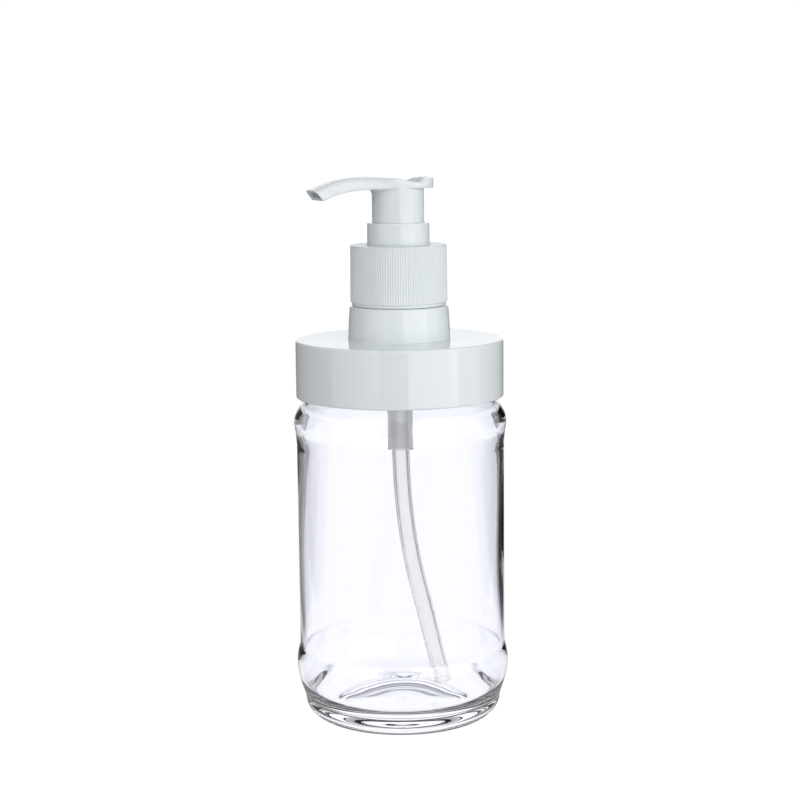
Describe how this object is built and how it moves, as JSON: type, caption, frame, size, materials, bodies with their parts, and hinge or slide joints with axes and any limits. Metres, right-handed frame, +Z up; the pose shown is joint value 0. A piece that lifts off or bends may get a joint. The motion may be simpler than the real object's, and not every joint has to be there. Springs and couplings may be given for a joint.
{
  "type": "condiment pump dispenser",
  "caption": "Clear round glass jar with a wide white screw lid and a push-down hand pump with a drooping spout, ribbed collar and curved dip tube.",
  "frame": {"origin": "centre of the jar's base, on the surface it stands on", "axes": "+Z up along the jar's axis, -X along the spout's reach, in the screwed-down pose with the head up"},
  "size_m": [0.0787, 0.0786, 0.1997],
  "materials": {
    "jar_glass": "clear soda-lime glass, smooth outside, slightly wavy inside",
    "lid_plastic": "glossy white moulded plastic",
    "pump_plastic": "glossy white moulded plastic, satin on the ribbed collar",
    "housing_plastic": "translucent greyish natural plastic",
    "tube_plastic": "milky translucent tube",
    "inner_plastic": "natural moulded plastic",
    "seal_plastic": "soft natural plastic",
    "seal_rubber": "soft white rubber",
    "foam_liner": "closed-cell foam liner",
    "steel": "polished stainless steel ball",
    "spring_steel": "drawn stainless spring wire"
  },
  "bodies": {
    "jar": {"jar": "jar_glass"},
    "lid_seal": {"lid_liner": "foam_liner"},
    "lid": {"lid": "lid_plastic"},
    "pump": {"pump_housing": "housing_plastic", "lock_ring": "pump_plastic", "stem_seal": "seal_rubber", "housing_gasket": "seal_rubber", "ball_cage": "inner_plastic", "return_spring": "spring_steel", "dip_tube": "tube_plastic"},
    "collar": {"collar": "pump_plastic"},
    "piston": {"piston_seal": "seal_plastic"},
    "actuator": {"actuator_head": "pump_plastic", "pump_stem": "inner_plastic", "piston_rod": "inner_plastic"},
    "inlet_valve": {"inlet_ball": "steel"},
    "outlet_valve": {"discharge_ball": "steel"}
  },
  "joints": [
    {"name": "lid_rise", "type": "slide", "parent": "jar", "child": "lid_seal", "axis": [0, 0, 1], "range_m": [0, 0.0053]},
    {"name": "lid_turn", "type": "hinge", "parent": "lid_seal", "child": "lid", "pos_m": [0, 0, 0], "axis": [0, 0, 1], "range_deg": [0, 450]},
    {"name": "pump_rise", "type": "slide", "parent": "lid", "child": "pump", "axis": [0, 0, 1], "range_m": [0, 0.00635]},
    {"name": "collar_turn", "type": "hinge", "parent": "pump", "child": "collar", "pos_m": [0, 0, 0], "axis": [0, 0, 1], "range_deg": [0, 540]},
    {"name": "actuator_press", "type": "slide", "parent": "pump", "child": "piston", "axis": [0, 0, 1], "range_m": [-0.0098, 0], "stiffness_N_per_m": 1270, "springref_m": 0.0063, "deforming": ["return_spring"]},
    {"name": "actuator_turn", "type": "hinge", "parent": "piston", "child": "actuator", "pos_m": [0, 0, 0], "axis": [0, 0, 1], "continuous": true},
    {"name": "inlet_ball_lift", "type": "slide", "parent": "pump", "child": "inlet_valve", "axis": [0, 0, 1], "range_m": [0, 0.0012]},
    {"name": "discharge_ball_lift", "type": "slide", "parent": "actuator", "child": "outlet_valve", "axis": [0, 0, 1], "range_m": [0, 0.0012]}
  ],
  "couplings": [
    {"joint": "lid_rise", "follows": "lid_turn", "m_per_rad": 0.00067323},
    {"joint": "pump_rise", "follows": "collar_turn", "m_per_rad": 0.00067323}
  ]
}
